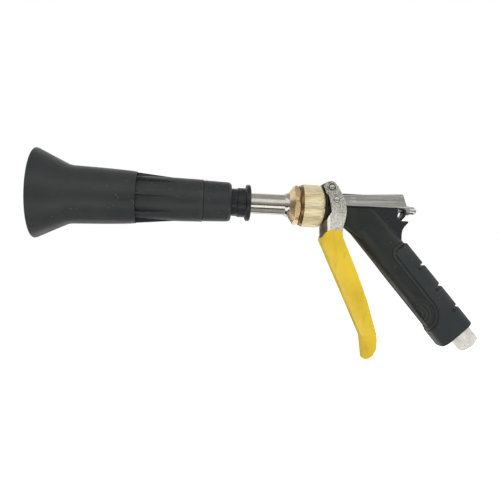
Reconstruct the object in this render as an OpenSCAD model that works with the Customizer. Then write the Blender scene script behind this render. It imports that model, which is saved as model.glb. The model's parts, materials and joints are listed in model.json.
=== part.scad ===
// Trigger-operated hose spray gun with a bell-mouthed, air-drawing spray head.
// Row frame: origin at the centre of the hose inlet's mouth, barrel along X with the
// nose at -X, +Z up, and the gun's plane of symmetry at Y = 0.
//
// Most pieces are drawn in one of two local frames:
//   barrel frame: X is the station along the barrel, 0 at the adjuster knob's rear face
//   handle frame: X runs down the handle from the barrel axis, Z points to its rear

/* [Layout] */
// Angle of the handle below the barrel axis, in degrees
handle_pitch = 48.3; // [40:0.1:56]
// Distance from the barrel axis down the handle axis to the inlet's mouth
inlet_reach = 189; // [175:1:205]
// Station where the handle axis meets the barrel axis
handle_station = 118; // [114:1:122]

/* [Spray head] */
// Radius of the bell at its rim
bell_rim_r = 46; // [42:0.5:50]
// Radius where the bell's cone meets the front tube
bell_throat_r = 30; // [28:0.5:32]
// Radius of the front tube at its rear edge
shroud_rear_r = 26.7; // [26:0.1:27]
// Wall of the bell and its tube
shroud_wall = 2.6; // [2:0.1:3]
// Number of ribs that hold the air slots open
rib_count = 8; // [6:1:10]
// Thickness of one rib
rib_t = 1.5; // [1:0.1:2.5]
// Radius of the adjuster knob's rear flange
knob_flange_r = 19; // [17:0.5:21]

/* [Lance] */
// Outer radius of the lance tube
tube_r = 10.65; // [10:0.05:11]
// Bore radius of the lance tube
tube_bore_r = 7.9; // [6:0.1:8.5]
// Width across the flats of the brass gland nut
gland_af = 36; // [34:0.5:38]
// Outer radius of the brass union nut
union_r = 22.35; // [21:0.05:23]

/* [Body and handle] */
// Half the width of the housing between the yoke's arms
housing_half_w = 10.4; // [9.6:0.1:10.4]
// Half the width of the handle, which is also its front rounding
handle_half_w = 15.5; // [14.5:0.1:16]
// Distance from the handle axis to the front of the handle
handle_front = 25.1; // [24:0.1:26]
// Distance from the barrel axis down to the handle's end face
handle_end = 169.5; // [165:0.5:175]
// Height of the rubber pad above the handle's sides
pad_rise = 1.3; // [1:0.1:1.6]
// Distance between two blocks of the rubber pad
block_pitch = 28.9; // [28:0.1:29.5]

/* [Inlet] */
// Width across the flats of the inlet fitting
inlet_af = 21.5; // [21:0.1:24]
// Minor radius of the inlet's internal G3/8 thread
inlet_thread_r = 7.48; // [7.4:0.01:7.6]
// Depth of the inlet's threaded socket
inlet_socket = 12; // [10:0.5:14]

/* [Trigger] */
// Outer half-width of the lever's cheeks
lever_half_w = 14.4; // [14:0.1:15]
// Thickness of the lever's sheet metal
lever_t = 1.8; // [1.4:0.1:1.8]
// Thickness of the sleeve outside the lever
sleeve_t = 1.5; // [1:0.1:2]
// Thickness of the yoke's strap
yoke_t = 1.4; // [1:0.1:1.5]

/* [Valve] */
// Radius of the valve rod
rod_r = 2.5; // [2:0.1:3]
// Radius of the valve chamber
chamber_r = 5.95; // [5.5:0.05:6]
// Turns of the return spring
spring_turns = 7; // [5:1:9]

/* [Hidden] */
$fn = 96;

black_plastic = [0.16, 0.18, 0.18];
knob_plastic = [0.12, 0.14, 0.16];
rubber = [0.18, 0.2, 0.21];
steel = [0.72, 0.71, 0.68];
brass = [0.82, 0.7, 0.46];
seal_black = [0.08, 0.08, 0.08];
yellow_vinyl = [0.88, 0.75, 0.16];
nylon = [0.92, 0.91, 0.86];

eps = 0.01;
far = 200;               // larger than any piece that a cutting block has to cover
fit_gap = 0.06;          // radial clearance of a running fit
seat_gap = 0.1;          // gap between faces of different moving pieces

joint_x = -inlet_reach * cos(handle_pitch);
joint_z = inlet_reach * sin(handle_pitch);

// Stations along the barrel
bell_front = -220;
bell_rear = -184.8;
shroud_rear = -117.5;
drum_front = -125;
rib_end = -78;
drum_rear = -49.4;
collar_rear = -20;
tube_front = -100;
gland_front = 40.5;
gland_rear = 53;
union_front = 52.5;
union_rear = 77;
housing_front = 77.3;
housing_rear = 156.5;
tube_rear = 75;

// Radii of the spray head
hub_r = 14.5;
hub_bore_r = tube_r + fit_gap;
drum_front_r = 22;
drum_mid_r = 22.5;
drum_rear_r = 21.9;
drum_wall = 2.4;
rib_front_r = 26.3;
knob_spigot_r = 12.8;

// Trigger geometry in the barrel frame, [station, height]
pivot = [83.5, 19.6];
link = [89.2, 7.0];
pivot_shank_r = 2.5;
bush_r = 4.2;
link_shank_r = 2;
cheek_in = lever_half_w - lever_t;
yoke_half_w = cheek_in - 0.3;
ear_centre = [82.5, 18.4];
ear_r = 7.5;
web_corner_r = 10.5;
channel_depth = 60;      // more than the lever's own depth
bend_1 = [75.3, -35.9];
bend_2 = [123, -134.9];
lever_tip = [126.7, -159];
lever_travel = 16;       // degrees from rest to fully squeezed
angle_a = 87;
angle_b = atan2(bend_1[1] - bend_2[1], bend_2[0] - bend_1[0]);
angle_c = atan2(bend_2[1] - lever_tip[1], lever_tip[0] - bend_2[0]);

// Valve stations
seat_front = 88;
cone_front = 89.23;
spring_front = 97.6;
spring_rear = 132.4;
packing_front = 141;
packing_rear = 149;
rod_front = 86;
rod_rear = 176;
end_nut_front = 167.3;

pipe_r = 5;              // water pipe inside the handle
pipe_bore_r = 3.8;
branch_r = 6.5;          // the pipe's socket in the valve body

// Handle stations, measured down the handle from the barrel axis
pad_top = 58;
cavity_top = 30;
cavity_bottom = 158;
screw_stations = [38, 92, 148];
screw_offset = -17.5;
handle_rear_low = 6;
handle_rear_high = 11.4;
pad_rear = 13.2;
pad_flare = 0.9;         // degrees by which the blocks lean away from the handle
panel_centre = [125, -27];
panel_r = 23;

module barrel_frame() translate([joint_x - handle_station, 0, joint_z]) children();
module handle_frame() translate([joint_x, 0, joint_z]) rotate([0, handle_pitch, 0]) children();

// Turns a [radius, station] outline about the barrel axis
module turned(outline) barrel_frame() rotate([0, 90, 0]) rotate_extrude() polygon(outline);
module turned_down_handle(outline) handle_frame() rotate([0, 90, 0]) rotate_extrude() polygon(outline);

module ring(r_in, r_out, s0, s1)
    turned([[r_in, s0], [r_out, s0], [r_out, s1], [r_in, s1]]);

module o_ring(major_r, minor_r, station)
    barrel_frame() translate([station, 0, 0]) rotate([0, 90, 0])
        rotate_extrude() translate([major_r, 0]) circle(r = minor_r, $fn = 32);

// A cylinder along the barrel axis, for cutting
module bore(r, s0, s1)
    barrel_frame() translate([s0, 0, 0]) rotate([0, 90, 0]) cylinder(r = r, h = s1 - s0);

// A hexagonal prism along X with a corner turned to phase degrees
module hex_prism(af, length, phase)
    rotate([0, 90, 0]) rotate([0, 0, phase])
        cylinder(r = af / 2 / cos(30), h = length, $fn = 6);

// Extrudes a side view, drawn as [x, z], symmetrically across Y
module across(half_w) rotate([90, 0, 0]) linear_extrude(2 * half_w, center = true) children();

// A pin across Y at a point of the side view, between two distances from the middle
module pin_across(at, r, y0, y1, sides = 64)
    translate([at[0], y0, at[1]]) rotate([-90, 0, 0]) cylinder(r = r, h = y1 - y0, $fn = sides);

// ---------- spray head ----------

module bell_shroud() color(black_plastic) {
    turned([
        [bell_rim_r, bell_front + 1.5], [bell_throat_r, bell_rear],
        [28.6, -146], [27.5, -126], [shroud_rear_r, shroud_rear],
        [shroud_rear_r - shroud_wall, shroud_rear], [27.5 - shroud_wall, -126],
        [28.6 - shroud_wall, -146], [bell_throat_r - shroud_wall, bell_rear],
        [bell_rim_r - shroud_wall - 0.3, bell_front + 1.5],
    ]);
    // rolled lip around the mouth
    o_ring(bell_rim_r - 1.5, 1.5, bell_front + 1.5);
}

module rib_outline() polygon([
    [drum_front + 3, drum_front_r - 1], [drum_front + 3, shroud_rear_r - shroud_wall],
    [shroud_rear + 0.1, shroud_rear_r - shroud_wall], [shroud_rear + 0.1, rib_front_r],
    [rib_end, drum_mid_r], [rib_end + 6, drum_mid_r - 1.5], [rib_end, drum_mid_r - 1.2],
]);

module shroud_core() color(black_plastic) difference() {
    union() {
        turned([
            [0, drum_front], [drum_front_r, drum_front], [drum_front_r + 0.6, shroud_rear],
            [drum_mid_r, rib_end], [drum_rear_r, drum_rear],
            [drum_rear_r - drum_wall, drum_rear], [drum_mid_r - drum_wall, rib_end],
            [drum_front_r - drum_wall, drum_front + 4], [hub_r, drum_front + 4],
            [hub_r, collar_rear], [0, collar_rear],
        ]);
        for (i = [0 : rib_count - 1])
            barrel_frame() rotate([i * 360 / rib_count - 5.5, 0, 0])
                rotate([90, 0, 0]) linear_extrude(rib_t, center = true) rib_outline();
    }
    bore(8, drum_front - 1, drum_front + 6);
    bore(hub_bore_r, drum_front + 3.5, collar_rear + 1);
    bore(knob_spigot_r, -30, collar_rear + 1);
}

module rear_collar() color(black_plastic) turned([
    [hub_r + 0.05, collar_rear], [18.4, collar_rear], [20.5, -22.4], [21.2, drum_rear + 1.6],
    [drum_rear_r - 0.7, drum_rear + 1.2], [drum_rear_r - 0.7, drum_rear + 0.05],
    [drum_rear_r - drum_wall - 0.05, drum_rear + 0.05],
    [drum_rear_r - drum_wall - 0.05, drum_rear - 5.8],
    [17.2, drum_rear - 5.8], [17.2, -25], [hub_r + 0.05, -25],
]);

module adjuster_knob() color(knob_plastic) difference() {
    union() {
        turned([
            [0, -29.5], [knob_spigot_r - 0.05, -29.5], [knob_spigot_r - 0.05, collar_rear + 0.1],
            [14.2, collar_rear + 0.1], [14.2, -14], [14.6, -13.4], [15.3, -13.4],
            [15.3, -5], [knob_flange_r - 2.6, -3.9], [knob_flange_r - 2.6, 0], [0, 0],
        ]);
        o_ring(knob_flange_r - 2.6, 2.5, -2.5);
    }
    bore(hub_bore_r, -30, 1);
    bore(13.4, -12, -9);
    bore(far, 0, 10);
}

module knob_o_ring() color(seal_black) o_ring(tube_r + 1.26, 1.2, -10.5);

module nozzle_holder() color(brass) difference() {
    turned([
        [0, -106], [9.6, -106], [10.6, -105], [10.6, tube_front - eps], [tube_bore_r, tube_front - eps],
        [tube_bore_r, -96.5], [6.2, -96.5], [6.2, -94.5], [tube_bore_r, -94.5],
        [tube_bore_r, -86], [0, -86],
    ]);
    bore(4, -99, -85);
    bore(2.4, -107, -98);
}

module nozzle_o_ring() color(seal_black) o_ring(7.04, 0.84, -95.5);

module nozzle_tip() color(brass) difference() {
    turned([[0, -115], [4, -115], [6.5, -112.5], [6.5, -106.01], [0, -106.01]]);
    bore(1.4, -116, -105);
    bore(3.4, -110, -105);
}

module swirl_core() color(brass) difference() {
    bore(3.95, -98, -90);
    for (i = [0 : 2])
        barrel_frame() rotate([i * 120, 0, 0]) translate([-99, -0.7, 2.2]) cube([10, 1.4, 3]);
}

// ---------- lance and couplings ----------

module lance_tube() color(steel) ring(tube_bore_r, tube_r, tube_front, tube_rear);

module tube_collar() color(steel) turned([
    [tube_r, 36], [tube_r + 0.3, 36], [12.7, 39], [12.7, gland_front], [tube_r, gland_front],
]);

module gland_nut() color(brass) difference() {
    union() {
        intersection() {
            turned([
                [0, gland_front], [12.9, gland_front], [21.2, 46.8], [21.2, 49.5],
                [18.4, gland_rear], [0, gland_rear],
            ]);
            barrel_frame() translate([gland_front, 0, 0]) hex_prism(gland_af, 20, 15);
        }
        turned(concat(
            [[0, gland_rear - 1], [16.2, gland_rear - 1]],
            [for (i = [0 : 6], k = [0 : 1]) [k == 0 ? 15.8 : 16.5, 53.6 + i * 1.5 + k * 0.75]],
            [[15.8, 64.4], [0, 64.4]]
        ));
    }
    bore(tube_r, gland_front - 1, 66);
}

module union_nut() color(brass) turned([
    [18.9, union_front], [20.6, union_front], [union_r, 55.4], [union_r, 71.6],
    [21.9, 73.8], [20.7, 75.8], [18.9, union_rear], [16.55, union_rear],
    [16.55, 58.4], [19.6, 58], [19.6, union_front + 1],
]);

module union_seal() color(seal_black) ring(tube_r, 16.4, 64.45, 66.4);

// ---------- valve ----------

module valve_body() color(brass) difference() {
    union() {
        ring(0, 16.45, 66.45, union_rear);
        ring(0, 12.4, union_rear - eps, 79.6);
        ring(0, 8.6, 79.6 - eps, packing_rear + 3);
        handle_frame() rotate([0, 90, 0]) cylinder(r = 8.6, h = 26);
    }
    bore(tube_r, 66, tube_rear + 0.2);
    bore(4.2, 60, 150);
    bore(chamber_r, seat_front, packing_rear + 4);
    handle_frame() rotate([0, 90, 0]) cylinder(r = 4, h = 30);
    handle_frame() translate([17, 0, 0]) rotate([0, 90, 0]) cylinder(r = branch_r, h = 12);
}

module valve_seat() color(nylon) turned([
    [3.4, seat_front + eps], [chamber_r, seat_front + eps], [chamber_r, 91],
    [4.6, 91], [3.4, 89.6],
]);

module valve_cone() color(nylon) difference() {
    turned([[0, cone_front], [3, cone_front], [4.9, cone_front + 2.22], [4.9, 96], [0, 96]]);
    bore(rod_r, 80, 100);
}

module valve_rod() color(steel) union() {
    bore(rod_r, rod_front, rod_rear);
    ring(0, 4.6, 96 + eps, 97.5);
}

// Cross-section, square to the axis, of a round wire that climbs one pitch a turn
module wire_section(coil_r, wire_r, pitch) {
    half = 360 * wire_r / pitch;
    polygon([for (t = [0 : 45 : 315])
        let(a = half * cos(t), r = coil_r + wire_r * sin(t)) [r * cos(a), r * sin(a)]]);
}

module return_spring() color(steel) {
    length = spring_rear - spring_front;
    pitch = length / spring_turns;
    barrel_frame() translate([spring_front, 0, 0]) rotate([0, 90, 0])
        linear_extrude(length, twist = -360 * spring_turns, slices = 20 * spring_turns, $fn = 8)
            wire_section(4.1, 0.55, pitch);
}

module spring_seat() color(brass)
    ring(rod_r + fit_gap, chamber_r, spring_rear + 0.1, packing_front - eps);

module stem_packing() color(nylon) ring(rod_r + 0.05, chamber_r, packing_front, packing_rear);

module packing_nut() color(brass) difference() {
    union() {
        ring(0, chamber_r, packing_rear + eps, 153);
        barrel_frame() translate([152.5, 0, 0]) hex_prism(11, 6.5, 0);
    }
    bore(rod_r + fit_gap, 140, 170);
}

module rod_end_nut() color(steel) difference() {
    union() {
        barrel_frame() translate([end_nut_front, 0, 0]) hex_prism(8.6, 4, 0);
        ring(0, 4.3, end_nut_front + 3.9, rod_rear);
        barrel_frame() translate([rod_rear - 0.8, 0, 0]) intersection() {
            sphere(r = 4.3);
            translate([0, -5, -5]) cube([10, 10, 10]);
        }
    }
    bore(rod_r, 160, rod_rear);
}

// ---------- body and handle ----------

// Side view of the narrow housing between the yoke's arms, in the barrel frame
module housing_side() difference() {
    union() {
        polygon([
            [housing_front, 14], [housing_rear, 14], [housing_rear, -8.5], [160.5, -11.8],
            [168, -11.9], [168.6, -13.2], [164.6, -17.6], [162.4, -21.4], [161.6, -27],
            [161.9, -33], [140, -50], [101, -19.5], [96, -8], [88, -14.5], [housing_front, -14.5],
        ]);
        translate(pivot) circle(r = 7);
        translate([housing_front, 8]) square([14, 10]);
    }
    translate([housing_front - 10, 0]) square([10, 40]);
}

// Cross-section of the handle, drawn as [height towards the rear, width]
module handle_section(half_w, front, rear) {
    nose = half_w - front;
    translate([nose, 0]) circle(r = half_w);
    translate([nose, -half_w]) square([rear - half_w * 0.6 - nose, 2 * half_w]);
    translate([rear - half_w * 0.6 - eps, -half_w * 0.4]) square([half_w * 0.6 + eps, half_w * 0.8]);
    for (side = [-1, 1])
        translate([rear - half_w * 0.6, side * half_w * 0.4]) circle(r = half_w * 0.6);
}

// Extrudes a handle section between two stations down the handle
module down_handle(h0, h1)
    handle_frame() translate([h0, 0, 0]) rotate([0, 90, 0]) rotate([0, 0, 180])
        linear_extrude(h1 - h0) children();

// The handle's full-width part, below the yoke, with a rounded upper rear corner
module handle_wide() intersection() {
    union() {
        down_handle(-30, pad_top) handle_section(handle_half_w, handle_front, handle_rear_high);
        down_handle(pad_top - eps, handle_end - 1.2)
            handle_section(handle_half_w, handle_front, handle_rear_low);
    }
    barrel_frame() across(20) difference() {
        translate([96, -far]) square([far, far - 0.7]);
        difference() {
            translate([119, -24]) square([40, 30]);
            translate([121, -27]) circle(r = 26.3);
            translate([119, -60]) square([60, 40]);
        }
    }
}

module handle_outside() difference() {
    union() {
        barrel_frame() across(housing_half_w) housing_side();
        handle_wide();
        ring(0, 18.4, housing_front, 79.6);
        ring(0, 14.6, 79.5, 88);
    }
    // flats that let the lever's cheeks swing past the handle
    for (side = [-1, 1])
        barrel_frame() translate([80, side * 22.2 - 10, -24]) cube([30.5, 20, 60]);
    // flats that let the yoke's arms slide past the neck
    for (side = [-1, 1])
        barrel_frame() translate([80, side * 20.4 - 10, 0]) cube([30.5, 20, 60]);
}

module handle_cavity() difference() {
    down_handle(cavity_top, cavity_bottom)
        handle_section(handle_half_w - 2.6, handle_front - 2.6, handle_rear_low - 2.6);
    for (s = screw_stations)
        handle_frame() pin_across([s, screw_offset], 4.4, -20, 20);
    for (s = [60, 110])
        down_handle(s, s + 3) translate([-40, -20]) square([60, 40]);
}

module handle_shells() difference() {
    handle_outside();
    handle_cavity();
    ring(0, 12.45, 70, 79.65);
    ring(0, 8.65, 70, packing_rear + 3.05);
    bore(6.5, 150, 170);
    handle_frame() rotate([0, 90, 0]) cylinder(r = 8.65, h = 26.1);
    handle_frame() rotate([0, 90, 0]) cylinder(r = pipe_r + 0.05, h = 160);
    handle_frame() translate([148, 0, 0]) rotate([0, 90, 0]) cylinder(r = 9.6, h = 30);
    barrel_frame() pin_across(pivot, bush_r, -20, 20);
    for (s = screw_stations) {
        handle_frame() pin_across([s, screw_offset], 1.5, -11, 20);
        handle_frame() pin_across([s, screw_offset], 3.2, 6, 20);
    }
}

module half_space(side)
    translate([-far, side > 0 ? eps : -far - eps, -far]) cube([3 * far, far, 3 * far]);

module handle_shell_left() color(black_plastic) intersection() {
    handle_shells();
    half_space(-1);
}

module handle_shell_right() color(black_plastic) intersection() {
    handle_shells();
    half_space(1);
}

module handle_screws() color(steel) for (s = screw_stations) handle_frame() difference() {
    union() {
        pin_across([s, screw_offset], 1.45, -10, 6.2);
        pin_across([s, screw_offset], 3, 6.05, 8.6);
    }
    translate([s - 0.4, 7.6, screw_offset - 2.2]) cube([0.8, 2, 4.4]);
    translate([s - 2.2, 7.6, screw_offset - 0.4]) cube([4.4, 2, 0.8]);
}

// Side view of the rubber pad, in the handle frame; lower grows its outline forwards
module pad_side(grow) difference() {
    union() {
        translate([pad_top - grow, -4.4 - grow]) square([handle_end - pad_top + grow, 30]);
        translate([panel_centre[0], -40]) square([handle_end - panel_centre[0], 50]);
    }
    translate(panel_centre) circle(r = panel_r - grow);
    translate([-far, panel_centre[1] - 20]) square([panel_centre[0] + far, 20 + 22.6 - grow]);
    translate([panel_centre[0] - 1, panel_centre[1] - 20]) square([panel_r - grow + 1, 20]);
}

module pad_slots() for (i = [1 : 3]) difference() {
    down_handle(pad_top + i * block_pitch - 1.8, pad_top + i * block_pitch + 1.9)
        translate([4.5, -30]) square([20, 60]);
    down_handle(pad_top, handle_end)
        handle_section(handle_half_w + pad_rise - 2.6, handle_front, pad_rear - 2.6);
}

module grip_pad() color(rubber) difference() {
    union() {
        intersection() {
            down_handle(pad_top, handle_end)
                handle_section(handle_half_w + pad_rise, handle_front + pad_rise, pad_rear + 2.2);
            handle_frame() across(20) pad_side(0);
            // the blocks' rear faces lean back a little towards the inlet
            handle_frame() translate([pad_top, 0, pad_rear - 0.2]) rotate([0, -pad_flare, 0])
                translate([-5, -20, -far]) cube([far, 40, far]);
        }
        // thinner base layer that shows around the blocks
        intersection() {
            union() {
                down_handle(pad_top, handle_end)
                    handle_section(handle_half_w + 0.6, handle_front + 0.6, handle_rear_low + 3);
                down_handle(pad_top - 4, pad_top + eps)
                    handle_section(handle_half_w + 0.6, handle_front, handle_rear_high + 0.6);
            }
            handle_frame() across(20) pad_side(4);
        }
    }
    handle_wide();
    pad_slots();
    handle_frame() translate([148, 0, 0]) rotate([0, 90, 0]) cylinder(r = 9.6, h = 30);
    handle_frame() translate([160, 0, 0]) hex_prism(inlet_af + 0.2, 20, 0);
}

module inlet_pipe() color(steel) handle_frame() translate([17.1, 0, 0]) rotate([0, 90, 0])
    difference() {
        union() {
            cylinder(r = branch_r - 0.05, h = 8.9);
            cylinder(r = pipe_r, h = 153);
        }
        translate([0, 0, -1]) cylinder(r = pipe_bore_r, h = 160);
    }

module inlet_fitting() color(steel) difference() {
    union() {
        turned_down_handle([[0, 149], [9.5, 149], [9.5, 171], [0, 171]]);
        intersection() {
            handle_frame() translate([handle_end - 1.1, 0, 0]) hex_prism(inlet_af, 30, 0);
            turned_down_handle([
                [0, 160], [13, 160], [13, inlet_reach - 2], [inlet_af / 2 - 0.6, inlet_reach], [0, inlet_reach],
            ]);
        }
    }
    turned_down_handle([
        [0, 148], [pipe_r, 148], [pipe_r, 170.3], [pipe_bore_r, 170.3],
        [pipe_bore_r, inlet_reach - inlet_socket - 2],
        [8.3, inlet_reach - inlet_socket - 2], [8.3, inlet_reach - inlet_socket],
        [inlet_thread_r, inlet_reach - inlet_socket], [inlet_thread_r, inlet_reach + 1],
        [0, inlet_reach + 1],
    ]);
}

module inlet_seal() color(seal_black) {
    seal_bottom = inlet_reach - inlet_socket - 2 + eps;
    turned_down_handle([
        [4.8, seal_bottom], [8.2, seal_bottom], [8.2, seal_bottom + 1.8], [4.8, seal_bottom + 1.8],
    ]);
}

// ---------- trigger ----------

// Side view of the lever, grown by the sleeve's thickness below its bend
module lever_side(grow) {
    polygon([
        [96.9, 9.7], [99.6, 2.3], [100.6, -4], [99.9, -12.1], [97.8, -20.2], [96.8, -27],
        [97.4 - 1.2 + grow, -32.5], [99.6 + grow, -40], [113.3 + grow, -70], [124.8 + grow, -98],
        [135.2 + grow, -130.5], [136.4 + grow, -138], [136 + grow, -148],
        [133.5 + grow / 2, -154 - grow / 2], [129.5, -157.3 - grow], [124, -158.8 - grow],
        [100, -130], [60, -60], [60, -36], [66, -30], [74.6, -20.4], [84.5, -6.2],
        [83.1, 1.8], [81.5, 8.3],
    ]);
}

// Side view of one ear around the pivot
module ear_side() {
    translate(ear_centre) circle(r = ear_r);
    polygon([
        [76.2, 14.3], [79.4, 13.5], [81.5, 8.3], [83.1, 1.8], [90, 0], [96.9, 9.7], [91.2, 20], [88.2, 23.3],
    ]);
}

// Unit vectors of a run that slopes down by a: along it, and square to it towards the rear
function along(a) = [cos(a), -sin(a)];
function rearwards(a) = [sin(a), cos(a)];
// Direction of the mitre between two runs, lengthened to keep the channel's depth
function mitre(a, b) = rearwards((a + b) / 2) / cos((a - b) / 2);

// The channel's outline across a run, as [depth from its front edge, width]
function channel_section(inset) =
    let(w = lever_half_w + sleeve_t - inset, r = web_corner_r - inset)
    concat(
        [[channel_depth, w]],
        [for (a = [90 : 10 : 180]) [inset + r + r * cos(a), w - r + r * sin(a)]],
        [for (a = [180 : 10 : 270]) [inset + r + r * cos(a), r - w + r * sin(a)]],
        [[channel_depth, -w]]
    );

// A solid channel with two mitred bends, inset from the sleeve's outside
module bent_channel(inset) {
    section = channel_section(inset);
    n = len(section);
    stations = [
        [bend_1 - 40 * along(angle_a), rearwards(angle_a)],
        [bend_1, mitre(angle_a, angle_b)],
        [bend_2, mitre(angle_b, angle_c)],
        [bend_2 + 40 * along(angle_c), rearwards(angle_c)],
    ];
    polyhedron(
        points = [for (s = stations, p = section)
            [s[0][0] + s[1][0] * p[0], p[1], s[0][1] + s[1][1] * p[0]]],
        faces = concat(
            [[for (i = [n - 1 : -1 : 0]) i]],
            [for (k = [0 : 2], i = [0 : n - 1])
                [k * n + i, k * n + (i + 1) % n, (k + 1) * n + (i + 1) % n, (k + 1) * n + i]],
            [[for (i = [0 : n - 1]) 3 * n + i]]
        )
    );
}

module lever_solid() difference() {
    union() {
        intersection() {
            bent_channel(sleeve_t);
            across(lever_half_w) intersection() {
                lever_side(0);
                translate([0, -far]) square([far, far - 6]);
            }
        }
        for (side = [-1, 1])
            translate([0, side * (lever_half_w - lever_t / 2), 0]) across(lever_t / 2)
                intersection() {
                    lever_side(0);
                    translate([82, -8]) square([far, far]);
                }
        for (side = [-1, 1])
            translate([0, side * (lever_half_w - lever_t / 2), 0]) across(lever_t / 2) ear_side();
    }
    bent_channel(sleeve_t + lever_t);
    // room for the union nut and the housing's flange, from rest to fully squeezed
    for (a = [0, lever_travel / 2, lever_travel])
        translate([pivot[0], 0, pivot[1]]) rotate([0, a, 0]) translate([-pivot[0], 0, -pivot[1]]) {
            translate([60, 0, 0]) rotate([0, 90, 0]) cylinder(r = 21.7, h = 17.2);
            translate([60, 0, 0]) rotate([0, 90, 0]) cylinder(r = 18.7, h = 20);
        }
}

module lever() color(steel) barrel_frame() difference() {
    lever_solid();
    pin_across(pivot, pivot_shank_r + fit_gap, -20, 20);
    pin_across(link, link_shank_r, -20, 20);
}

module lever_sleeve() color(yellow_vinyl) barrel_frame() difference() {
    intersection() {
        bent_channel(0);
        across(20) lever_side(sleeve_t);
        // the dipped edge of the sleeve
        across(20) polygon([[60, -60], [60, -36], [75.5, -34], [79, -27.6], [82, -25.2], [110, -24.2],
            [180, -100], [150, -180], [100, -180]]);
    }
    bent_channel(sleeve_t + lever_t + 1);
    lever_solid();
}

module yoke_arm_side() {
    translate(link) circle(r = 5.6);
    polygon([
        [89.2, 12.5], [97, 12.6], [159, 16.1], [160.6, 15.2], [161.6, 12.6], [165, 1.5], [89.5, 1.45],
    ]);
}

// Side view of the strap behind the housing: slanted wall and curled tab
module yoke_wall_side() polygon([
    [159, 16.1], [160.8, 15.4], [161.6, 13.6], [165.7, 1.6], [166.4, -2.4], [165.4, -6.6], [161.2, -11.2],
    [160.2, -10.2], [163.9, -6], [164.8, -2.2], [164.1, 1.5], [160, 14.2], [159, 14.8],
]);

module yoke() color(steel) barrel_frame() difference() {
    union() {
        for (side = [-1, 1])
            translate([0, side * (yoke_half_w - yoke_t / 2), 0]) across(yoke_t / 2) yoke_arm_side();
        intersection() {
            across(yoke_half_w) yoke_wall_side();
            union() {
                translate([150, -20, 1.5]) cube([30, 40, 20]);
                translate([150, -6, -20]) cube([30, 12, 30]);
            }
        }
        // pressed bead along each arm
        for (side = [-1, 1])
            translate([0, side * yoke_half_w, 0]) across(0.35) hull() {
                translate([112, 8]) circle(r = 1.5, $fn = 32);
                translate([154, 9.6]) circle(r = 1.5, $fn = 32);
            }
    }
    pin_across(link, link_shank_r + fit_gap, -20, 20);
    translate([150, 0, 0]) rotate([0, 90, 0]) cylinder(r = rod_r + 0.9, h = 30);
}

module link_rivets() color(steel) barrel_frame() for (side = [-1, 1]) scale([1, side, 1]) {
    pin_across(link, link_shank_r, housing_half_w + 0.25, lever_half_w + 0.4);
    pin_across(link, 3.2, lever_half_w, lever_half_w + 1.2);
}

module pivot_bush() color(brass) barrel_frame() difference() {
    pin_across(pivot, bush_r, -cheek_in + seat_gap, cheek_in - seat_gap);
    pin_across(pivot, pivot_shank_r, -20, 20);
}

module pivot_screw() color(steel) barrel_frame() difference() {
    union() {
        pin_across(pivot, pivot_shank_r, -lever_half_w - 0.6, lever_half_w + 3.6);
        pin_across(pivot, 4.3, -lever_half_w - 2.5, -lever_half_w - seat_gap);
    }
    pin_across(pivot, 1.7, -lever_half_w - 3, -lever_half_w - 1, 6);
}

module pivot_nut() color(steel) barrel_frame() difference() {
    pin_across(pivot, 4.4, lever_half_w + seat_gap, lever_half_w + 3.2, 6);
    pin_across(pivot, pivot_shank_r, 0, 30);
}

bell_shroud();
shroud_core();
rear_collar();
adjuster_knob();
knob_o_ring();
nozzle_tip();
nozzle_holder();
nozzle_o_ring();
swirl_core();
lance_tube();
tube_collar();
gland_nut();
union_nut();
union_seal();
valve_body();
valve_seat();
valve_rod();
valve_cone();
return_spring();
spring_seat();
stem_packing();
packing_nut();
rod_end_nut();
handle_shell_left();
handle_shell_right();
handle_screws();
grip_pad();
inlet_pipe();
inlet_fitting();
inlet_seal();
lever();
lever_sleeve();
yoke();
link_rivets();
pivot_bush();
pivot_screw();
pivot_nut();
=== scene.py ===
import json
import math

import bmesh
import bpy
import numpy as np
from mathutils import Matrix, Vector


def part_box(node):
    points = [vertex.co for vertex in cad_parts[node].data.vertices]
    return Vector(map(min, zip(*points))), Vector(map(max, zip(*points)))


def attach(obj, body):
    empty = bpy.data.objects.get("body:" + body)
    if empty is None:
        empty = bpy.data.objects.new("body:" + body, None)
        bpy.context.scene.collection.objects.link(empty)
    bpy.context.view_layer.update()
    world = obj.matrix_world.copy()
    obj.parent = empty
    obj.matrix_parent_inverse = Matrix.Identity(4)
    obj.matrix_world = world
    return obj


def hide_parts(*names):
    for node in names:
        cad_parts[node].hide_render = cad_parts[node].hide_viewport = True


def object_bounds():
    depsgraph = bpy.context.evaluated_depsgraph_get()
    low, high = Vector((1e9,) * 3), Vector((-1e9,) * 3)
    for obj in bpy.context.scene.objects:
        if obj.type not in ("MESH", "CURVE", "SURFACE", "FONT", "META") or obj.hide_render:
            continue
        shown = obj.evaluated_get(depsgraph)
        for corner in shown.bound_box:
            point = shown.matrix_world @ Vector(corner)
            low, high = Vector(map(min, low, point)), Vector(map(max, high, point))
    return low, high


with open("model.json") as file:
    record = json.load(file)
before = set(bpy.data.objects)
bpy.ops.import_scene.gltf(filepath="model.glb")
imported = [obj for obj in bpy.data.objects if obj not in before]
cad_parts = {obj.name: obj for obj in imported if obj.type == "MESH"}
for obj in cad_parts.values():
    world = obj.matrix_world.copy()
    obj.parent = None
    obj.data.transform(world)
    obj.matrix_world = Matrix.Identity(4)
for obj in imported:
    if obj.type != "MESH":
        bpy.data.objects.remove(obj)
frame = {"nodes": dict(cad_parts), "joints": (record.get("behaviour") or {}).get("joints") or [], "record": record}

# The looks of the spray gun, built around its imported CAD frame.
# Two local frames, in millimetres, carry the shapes:
#   barrel frame: x is the station along the barrel, 0 at the adjuster knob's rear face, z is up
#   handle frame: x runs down the handle from the barrel axis, z points to its rear

MM = 0.001
cad_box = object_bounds()

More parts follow.
